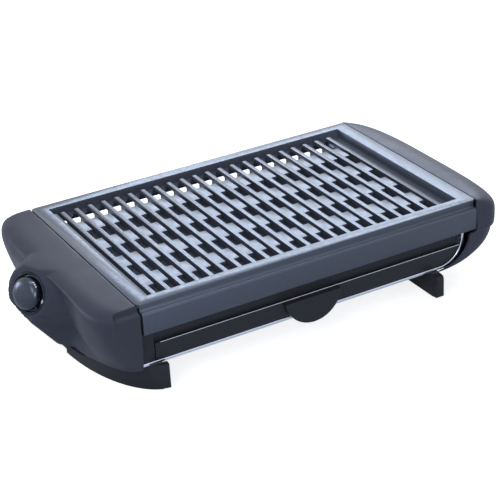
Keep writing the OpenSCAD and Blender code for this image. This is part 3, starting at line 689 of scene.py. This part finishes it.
def with_pod(skin, seat):
    """The skin pulled out to the dial's pod and its keel, with the valley in front of them."""
    plain, deep, high = skin[:, :, 0], skin[:, :, 1], skin[:, :, 2]
    y, z = deep - seat[1], high - seat[2]
    x = -(dial_out[1] * y + dial_out[2] * z) / dial_out[0]
    d = np.sqrt(x ** 2 + y ** 2 + z ** 2)
    below = (x * UNDER[0] + y * UNDER[1] + z * UNDER[2]) * SEAT_R / UNDER_R
    front = ramp(-y, 2, 16) * ramp(z, -50, -14)
    valley = VALLEY * ramp(-y, 8, 24) * ramp(y, -104, -40) \
        * ramp(high, RIM_TOP - 4, RIM_TOP - 12) * ramp(high, 16, 40)
    base = plain + valley
    pod_x = seat[0] + x + (1.5 - 0.6 * front) * eased(np.maximum(d, below) - SEAT_R, EASE)
    keel_x = seat[0] - KEEL_BACK - KEEL_SLOPE * (high - KEEL_Z)
    pod = np.maximum(front, ramp(d, POD_R, SEAT_R)) * ramp(high, RIM_TOP - 0.1, RIM_TOP - 2.1)
    keel = ramp(np.abs(deep - 3), KEEL_HALF, KEEL_HALF - KEEL_SOFT) * ramp(high, 63, 43)
    out = skin.copy()
    out[:, :, 0] = np.minimum(base, np.minimum(base + pod * (pod_x - base),
                                               base + keel * (keel_x - base)))
    return out


INNER_HALF = 129
rows = lip_rows(smooth_rows(HOUSING_ROWS, 8))
half = np.concatenate([np.arange(0, 29, 0.8), np.arange(29, 88, 0.75), SEAM_ANGLES[::-1]])
angles = np.concatenate([-half[:0:-1], half])
low = low_edge(outlines(rows[-1:], angles, -1)[0, :, 1])
outer = flat_front(outlines(rows, angles, -1, low))
outer = with_pod(rolled_in(outer, -1, LIP_R), face_seat - 0.04 * dial_out)
inner = outlines(inner_rows(rows, RIM_TOP), angles, -1, low)
inner[:, :, 1] = np.clip(inner[:, :, 1], -INNER_HALF, INNER_HALF)
inner = with_pod(inner, face_seat - WALL * dial_out)
housing_mesh = shell("housing_shell", outer, inner)
print("housing", outer.shape, "low corner", outer.reshape(-1, 3).min(0).round(2))

# %% [markdown]
# ## The holes
# The holes are cut with Boolean modifiers and plain turned cutters: the well of the dial cup, a
# seat for the cup's lugs and the bore for the mains lead. A hole could be left out of the grid
# instead, but then its edge would follow the grid's columns and wouldn't be round. The cutters
# are removed again, so only the shell stays.

# %% Cut the holes
def turned(name, profile, steps=96, axis=None, seat=(0, 0, 0)):
    """A closed solid from a profile of (radius, height) in mm, turned about an axis."""
    axis = Vector((0, 0, 1)) if axis is None else Vector(axis)
    frame_turn = axis.to_track_quat("Z", "X").to_matrix()
    bm = bmesh.new()
    rings = []
    for radius, height in profile:
        if radius < 1e-6:
            rings.append([bm.verts.new(frame_turn @ Vector((0, 0, height)) + Vector(seat))])
            continue
        rings.append([bm.verts.new(frame_turn @ Vector((
            radius * math.cos(2 * math.pi * k / steps), radius * math.sin(2 * math.pi * k / steps),
            height)) + Vector(seat)) for k in range(steps)])
    for a, b in zip(rings, rings[1:] + (rings[:1] if profile[0][0] > 1e-6 else [])):
        for k in range(steps):
            corners = [a[k % len(a)], a[(k + 1) % len(a)], b[(k + 1) % len(b)], b[k % len(b)]]
            corners = list(dict.fromkeys(corners))
            if len(corners) > 2:
                bm.faces.new(corners)
    bmesh.ops.recalc_face_normals(bm, faces=bm.faces)
    for vertex in bm.verts:
        vertex.co = at(*vertex.co)
    mesh = bpy.data.meshes.new(name)
    bm.to_mesh(mesh)
    bm.free()
    return mesh


def rod(name, radius, low, high, axis=None, seat=(0, 0, 0)):
    """A plain round cutter."""
    return turned(name, [(0, low), (radius, low), (radius, high), (0, high)], 96, axis, seat)


def cut(mesh, *cutters):
    """The mesh with every cutter taken out of it."""
    holders = [bpy.data.objects.new("cutter", c) for c in cutters]
    for holder in holders:
        bpy.context.scene.collection.objects.link(holder)

    def setup(target):
        for holder in holders:
            taken = target.modifiers.new("cut", "BOOLEAN")
            taken.operation = "DIFFERENCE"
            taken.solver = "EXACT"
            taken.object = holder

    result = applied(mesh, setup)
    for holder in holders:
        bpy.data.objects.remove(holder)
    return result


turn = (Matrix.Rotation(math.pi + DIAL_YAW, 3, "Z") @ Matrix.Rotation(math.pi / 2 - DIAL_TILT, 3, "Y"))


def on_dial(x, y, z):
    """A point in the dial's own axes, with z along the shaft, as millimetres of the drawing."""
    return turn @ Vector((x, y, z)) + Vector(dial_seat)


def block(name, low, high):
    """A plain box in millimetres of the drawing."""
    bm = bmesh.new()
    bmesh.ops.create_cube(bm, size=1.0)
    for vertex in bm.verts:
        vertex.co = at(*[low[k] + (vertex.co[k] + 0.5) * (high[k] - low[k]) for k in range(3)])
    mesh = bpy.data.meshes.new(name)
    bm.to_mesh(mesh)
    bm.free()
    return mesh


housing_mesh = cut(
    housing_mesh,
    turned("well", [(0, -6), (CUP_R + 0.35, -6), (CUP_R + 0.35, -0.35), (CUP_R + 0.7, 0.01),
                    (CUP_R + 0.7, 30), (0, 30)], 180, dial_out, dial_seat),
    rod("flange_seat", CUP_R + 2.6, -7.5, -0.3 - WALL, dial_out, dial_seat),
    rod("lead_bore", 5.65, -4, 40, (0, 1, 0), (-206, 119, 34)),
)
piece("control_housing", housing_mesh, "base", housing_slate, "left_housing")
print("housing piece", len(housing_mesh.polygons), "faces")

# %% [markdown]
# ## Screw bosses
# Under the bottom cover two screws hold the housing. They bite into bosses, hollow posts that
# are moulded with the shell. They can't be seen from above, but the housing would be wrong
# without them, and a turned profile costs three lines. Each post has a bore for the screw and
# a small lead-in at its lower end.

# %% Bosses
def joined(name, *meshes):
    """Several meshes as one."""
    bm = bmesh.new()
    for mesh in meshes:
        bm.from_mesh(mesh)
    whole = bpy.data.meshes.new(name)
    bm.to_mesh(whole)
    bm.free()
    return whole


post = [(1.75, 14.9), (2.3, 14.1), (3.7, 14.1), (4, 14.5), (4, 92.6), (1.75, 92.6)]
bosses = piece("housing_bosses", joined("bosses", *(
    turned("boss", post, 40, None, (-205, y, 0)) for y in (-100, 100))),
    "base", housing_slate, "left_housing")
print("bosses", len(bosses.data.polygons), "faces")

# %% [markdown]
# ## The end cap
# The right end has nothing in it, so its bow is shallower and curls under the trough like the
# bow of a sledge. The same stack of outlines builds it. Just under the plate's skirt its seam
# steps inwards, because there it meets the narrower trough instead of the plate.

# %% End cap
CAP_ROWS = [
    [97, 200.3, 200.7, 130.5, 1.2],
    [96.7, 200.3, 210, 132, 1.9],
    [95.4, 199.7, 220, 133.6, 2.8],
    [92, 198.2, 231, 135.4, 3.6],
    [86, 197.4, 237.8, 137, 4],
    [77, 197.4, 240.2, 137.3, 4],
    [63.6, 197.4, 238.9, 137.2, 4],
    [61, 189.6, 238.0, 137, 4],
    [53, 187.5, 236.8, 136.6, 3.8],
    [44, 183.5, 232.4, 136, 3.6],
    [36, 176, 221.4, 135.4, 3.4],
    [30, 165, 205, 135, 3.2],
    [26.8, 150, 176, 134.6, 3],
]
rows = lip_rows(smooth_rows(CAP_ROWS, 8))
half = np.concatenate([np.arange(0, 88, 1.6), SEAM_ANGLES[::-1]])
angles = np.concatenate([-half[:0:-1], half])
outer = rolled_in(outlines(rows, angles, 1), 1, LIP_R)
cap_mesh = shell("cap_shell", outer, outlines(inner_rows(rows, RIM_TOP), angles, 1))
cap = piece("end_cap", cap_mesh, "base", cap_slate, "right_end_cap")
print("cap", outer.shape, "high corner", outer.reshape(-1, 3).max(0).round(2))

# %% [markdown]
# ## The dial
# The dial is a polished dome, sunk in a shallow cup. The dome has a steep side and a nearly
# flat crown, which a sphere doesn't give, so its profile is drawn with two powers of an angle
# and turned about the shaft. The cup goes in from behind and is held by three lugs: it is
# turned with a full flange, and the flange is then drawn in between the lugs. Both are turned
# about the tilted axis straight away, which saves placing them afterwards.

# %% Cup and knob
SHAFT_R, KNOB_R, CUP_FLOOR, CUP_RIM = 3.0, 17.2, -5.0, 0.6
LAMP_TURN, LAMP_R = 80, 0.95
cup_profile = [(SHAFT_R + 0.8, CUP_FLOOR - 1.3), (SHAFT_R + 1.1, CUP_FLOOR - 1.6),
               (CUP_R - 0.6, CUP_FLOOR - 1.6), (CUP_R, CUP_FLOOR - 1.0), (CUP_R, -4.8),
               (CUP_R + 2.2, -4.8), (CUP_R + 2.2, -WALL - 0.6), (CUP_R, -WALL - 0.6)]
cup_profile += [(CUP_R - 0.6 + 0.6 * math.cos(a), CUP_RIM - 0.6 + 0.6 * math.sin(a))
                for a in np.radians(range(0, 160, 15))]
cup_profile += [(CUP_R - 1.2, CUP_RIM - 0.9), (CUP_R - 2.05, CUP_RIM - 1.4),
                (CUP_R - 2.2, CUP_RIM - 1.7), (CUP_R - 2.2, CUP_FLOOR + 0.6),
                (CUP_R - 2.5, CUP_FLOOR + 0.1), (CUP_R - 2.9, CUP_FLOOR),
                (SHAFT_R + 1.1, CUP_FLOOR), (SHAFT_R + 0.8, CUP_FLOOR - 0.3)]
cup_mesh = turned("cup", cup_profile, 180, dial_out, dial_seat)
LUG_STARTS, LUG_SPAN = (16, 116, 227), 46
for vertex in cup_mesh.vertices:
    spot = turn.transposed() @ (drawn(vertex.co) - Vector(dial_seat))
    toward = math.degrees(math.atan2(spot.y, spot.x)) % 360
    reach = math.hypot(spot.x, spot.y)
    if reach > CUP_R + 0.5 and not any(0 <= toward - s <= LUG_SPAN for s in LUG_STARTS):
        keep = (CUP_R + 0.2) / reach
        vertex.co = at(*on_dial(spot.x * keep, spot.y * keep, spot.z))

dome = [(SHAFT_R + 0.05, CUP_FLOOR + 0.8), (SHAFT_R + 0.3, CUP_FLOOR + 0.5),
        (KNOB_R + 1.1, CUP_FLOOR + 0.5), (KNOB_R + 1.4, CUP_FLOOR + 0.8),
        (KNOB_R + 1.4, CUP_FLOOR + 2.0), (KNOB_R + 1.15, CUP_FLOOR + 2.3),
        (KNOB_R + 0.3, CUP_FLOOR + 2.5), (KNOB_R, CUP_FLOOR + 2.9)]
dome += [(KNOB_R * math.cos(a) ** 0.55, 1.2 + 8.6 * math.sin(a) ** 0.9)
         for a in np.radians(np.concatenate([np.arange(0, 84, 2.5), np.arange(84, 90, 0.8)]))]
dome = [p for p in dome if p[0] > 0.9] + [(0.0, 9.8)]
floor_of_bore = [(0.0, 7.3), (SHAFT_R + 0.05, 7.3)]
knob_mesh = turned("knob", floor_of_bore + dome, 180, dial_out, dial_seat)
print("knob", len(knob_mesh.polygons), "faces, cup", len(cup_mesh.polygons), "faces")

# %% [markdown]
# ## Pointer, lamp and marks
# The knob's pointer is a black wedge let into its skirt, and a clear oblong lamp in the cup's
# rim shows that the element is on. Both are small blocks placed in the dial's own axes, where
# x and y lie in the face and z runs along the shaft. Three low dots of paint stand for the
# printed scale: print has a thickness too, and plain dots carry no lettering.

# %% Small parts of the dial
def dial_block(name, turn_deg, low, high, rounding, only=None):
    """A block in the dial's axes, turned about the shaft, with rounded edges, in mm."""
    bm = bmesh.new()
    bmesh.ops.create_cube(bm, size=1.0)
    spin = Matrix.Rotation(math.radians(turn_deg), 3, "Z")
    for vertex in bm.verts:
        for k in range(3):
            vertex.co[k] = low[k] + (vertex.co[k] + 0.5) * (high[k] - low[k])
    if rounding:
        edges = [e for e in bm.edges if only is None or only(e)]
        bmesh.ops.bevel(bm, geom=edges, offset=rounding, segments=4, affect="EDGES")
    for vertex in bm.verts:
        vertex.co = at(*on_dial(*(spin @ vertex.co)))
    mesh = bpy.data.meshes.new(name)
    bm.to_mesh(mesh)
    bm.free()
    return mesh


def lamp_shape(name, radius, low, high, cap=0.0):
    """An oblong rod in the cup's rim; the cap rounds its upper end."""
    mesh = dial_block(name, LAMP_TURN, (CUP_R - 1.1 - radius, -1.6 - radius, low),
                      (CUP_R - 1.1 + radius, 1.6 + radius, high), radius * 0.98,
                      lambda e: abs(e.verts[0].co.z - e.verts[1].co.z) > 1)
    if not cap:
        return mesh

    def round_end(holder):
        bevel = holder.modifiers.new("round", "BEVEL")
        bevel.width, bevel.segments = cap / 1000, 3
        bevel.limit_method, bevel.angle_limit = "ANGLE", math.radians(50)

    return applied(mesh, round_end)


piece("dial_cup_piece", cut(cup_mesh, lamp_shape("lamp_bore", LAMP_R + 0.02, -8, 12)),
      "base", cup_slate, "dial_cup")
lamp_piece = piece("lamp_lens", lamp_shape("lens", LAMP_R, -11, CUP_RIM + 0.5, 0.45),
                   "base", lamp_clear, "indicator_lamp")

POINTER_TURN, POINTER_AT = 50, CUP_FLOOR + 1.6
slot_cutter = dial_block("slot_cutter", POINTER_TURN, (KNOB_R - 3.45, -1.65, POINTER_AT - 0.05),
                         (KNOB_R + 1.45, 1.65, POINTER_AT + 5.25), 0)
piece("knob_piece", cut(knob_mesh, slot_cutter), "dial", knob_gloss, "knob")
pointer = piece("pointer_piece", dial_block(
    "pointer", POINTER_TURN, (KNOB_R - 3.4, -1.6, POINTER_AT),
    (KNOB_R + 1.4, 1.6, POINTER_AT + 5.2), 0.35), "dial", knob_gloss, "knob_pointer")

dots = bmesh.new()
for turn_deg in (129, 138, 147):
    spot = Matrix.Rotation(math.radians(turn_deg), 3, "Z") @ Vector((16.55, 0, 4.6))
    lean = Matrix.Rotation(math.radians(turn_deg), 3, "Z") @ Vector((0.93, 0, 0.37))
    facing = (turn @ lean).to_track_quat("Z", "X").to_matrix().to_4x4()
    flat = Matrix.Diagonal((0.0008, 0.0008, 0.00022, 1))
    bmesh.ops.create_uvsphere(dots, u_segments=20, v_segments=10, radius=1.0,
                              matrix=Matrix.Translation(at(*on_dial(*spot))) @ facing @ flat)
dots_mesh = bpy.data.meshes.new("dots")
dots.to_mesh(dots_mesh)
dots.free()
marks = piece("dial_dots", dots_mesh, "dial", mark_white)
print("pointer", len(pointer.data.polygons), "lamp", len(lamp_piece.data.polygons), "faces")

# %% [markdown]
# ## Trough, trim and tray
# Under the plate a folded steel trough carries everything, and a bright strip edges it at the
# front. The tray slides in it. Its face is black plastic with a half-moon grip, and a thin
# bright metal bead along the face's upper edge stands in for the line of highlight there, as a
# painted highlight. The sheet parts keep their solids' shapes with a small rounding, because
# folded sheet has no sharp edge either. At the left end the strip is led on under the housing
# by moving its last vertices, and a small dark plate closes the view into the trough as painted
# shade, which is simpler than bending the trough's own wall.

# %% Front parts
dressed("base_trough", "base", trough_steel, 0.25, steps=2)
TRIM_END, TRIM_LED_ON = -186.6, 13.5
trim_mesh = softened("trough_edge_trim", 0.6)
for vertex in trim_mesh.vertices:
    if drawn(vertex.co).x < TRIM_END:
        vertex.co.x -= TRIM_LED_ON / 1000
piece("trough_edge_trim_piece", trim_mesh, "base", trim_bright, "trough_edge_trim")
END_PLATE_TOP = plate_low.z * 1000 - 1.2


def folded_edge(holder):
    """A small bevel, as a sheet has after it is folded and painted."""
    bevel = holder.modifiers.new("round", "BEVEL")
    bevel.width, bevel.segments = 0.0005, 3


# Painted shade: a small black plate that makes the trough's left end read dark.
end_mesh = block("end_plate", (-202.5, -130.4, 30.9), (-184.4, -128.6, END_PLATE_TOP))
end_plate = piece("trough_end_shade_plate", applied(end_mesh, folded_edge), "base", black_satin)
dressed("front_rail", "base", black_satin, 0.3, steps=2)
dressed("tray_front", "tray", black_satin, 0.7, steps=3)
dressed("tray_grip", "tray", black_satin, 1.2, steps=4)

# Painted highlight: a thin bright bead along the tray face's upper edge stands in for the line of
# light there.
BEAD_SHORT = 5.6
bead_low, bead_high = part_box("tray_front")
bead = [(bead_low.y * 1000 + 0.62 + 0.6 * math.cos(a), bead_high.z * 1000 - 0.1 + 0.5 * math.sin(a))
        for a in np.radians(range(0, 360, 15))]
bm = bmesh.new()
bead_x = (bead_low.x * 1000 + BEAD_SHORT, bead_high.x * 1000 - 1.2)
ends = [[bm.verts.new((x / 1000, y / 1000, z / 1000)) for y, z in bead] for x in bead_x]
for k in range(len(bead)):
    m = (k + 1) % len(bead)
    bm.faces.new((ends[0][k], ends[0][m], ends[1][m], ends[1][k]))
bm.faces.new(ends[0])
bm.faces.new(ends[1])
bmesh.ops.recalc_face_normals(bm, faces=bm.faces)
bead_mesh = bpy.data.meshes.new("bead")
bm.to_mesh(bead_mesh)
bm.free()
tray_highlight_bead = piece("tray_highlight_bead", bead_mesh, "tray", trim_bright)
print("bead from", [round(x) for x in bead_x], "mm")

# %% [markdown]
# ## Feet and cover
# The left feet are curved plinths that follow the bow of the housing, with a taller block at
# the front and the back. The right feet are thin hollow fins. They are glossy black mouldings,
# whose edges catch thin lines of light, so a rounded copy of each solid is all they need. The
# band of a left foot is drawn up at the ends, where the housing's lower edge climbs.

# %% Feet
PLINTH_TOP, BAND_TOP, BAND_REACH = 12.1, 26.8, 2.4
BOW_SEAM, BOW_LONG, BOW_HALF, BOW_RIM = 191.4, 39.6, 134, 0.88


def stretched(mesh):
    """Draws the band of a left foot up to just under the housing's lower edge."""
    for vertex in mesh.vertices:
        spot = drawn(vertex.co)
        out_x, out_y = max((-spot.x - BOW_SEAM) / BOW_LONG, 0), abs(spot.y) / BOW_HALF
        target = min(low_edge(spot.y) - 0.1, BAND_TOP)
        on_band = abs(spot.z - PLINTH_TOP) < BAND_REACH and target > PLINTH_TOP
        if on_band and out_x ** ROUND + out_y ** ROUND > BOW_RIM:
            vertex.co.z += (target - PLINTH_TOP) / 1000
    return mesh


for name in ("front_right_foot", "rear_right_foot"):
    dressed(name, "base", black_satin, 0.8, steps=3)
for name in ("front_left_foot", "rear_left_foot"):
    piece(name + "_piece", stretched(softened(name, 0.8)), "base", black_satin, name)
dressed("left_bottom_cover", "base", black_satin, 0.4, steps=2)
dressed("foot_pads", "base", rubber, 0.25, steps=2)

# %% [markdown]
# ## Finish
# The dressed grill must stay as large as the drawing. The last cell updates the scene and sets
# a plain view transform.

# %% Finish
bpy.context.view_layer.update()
view = bpy.context.scene.view_settings
view.view_transform = "Standard"
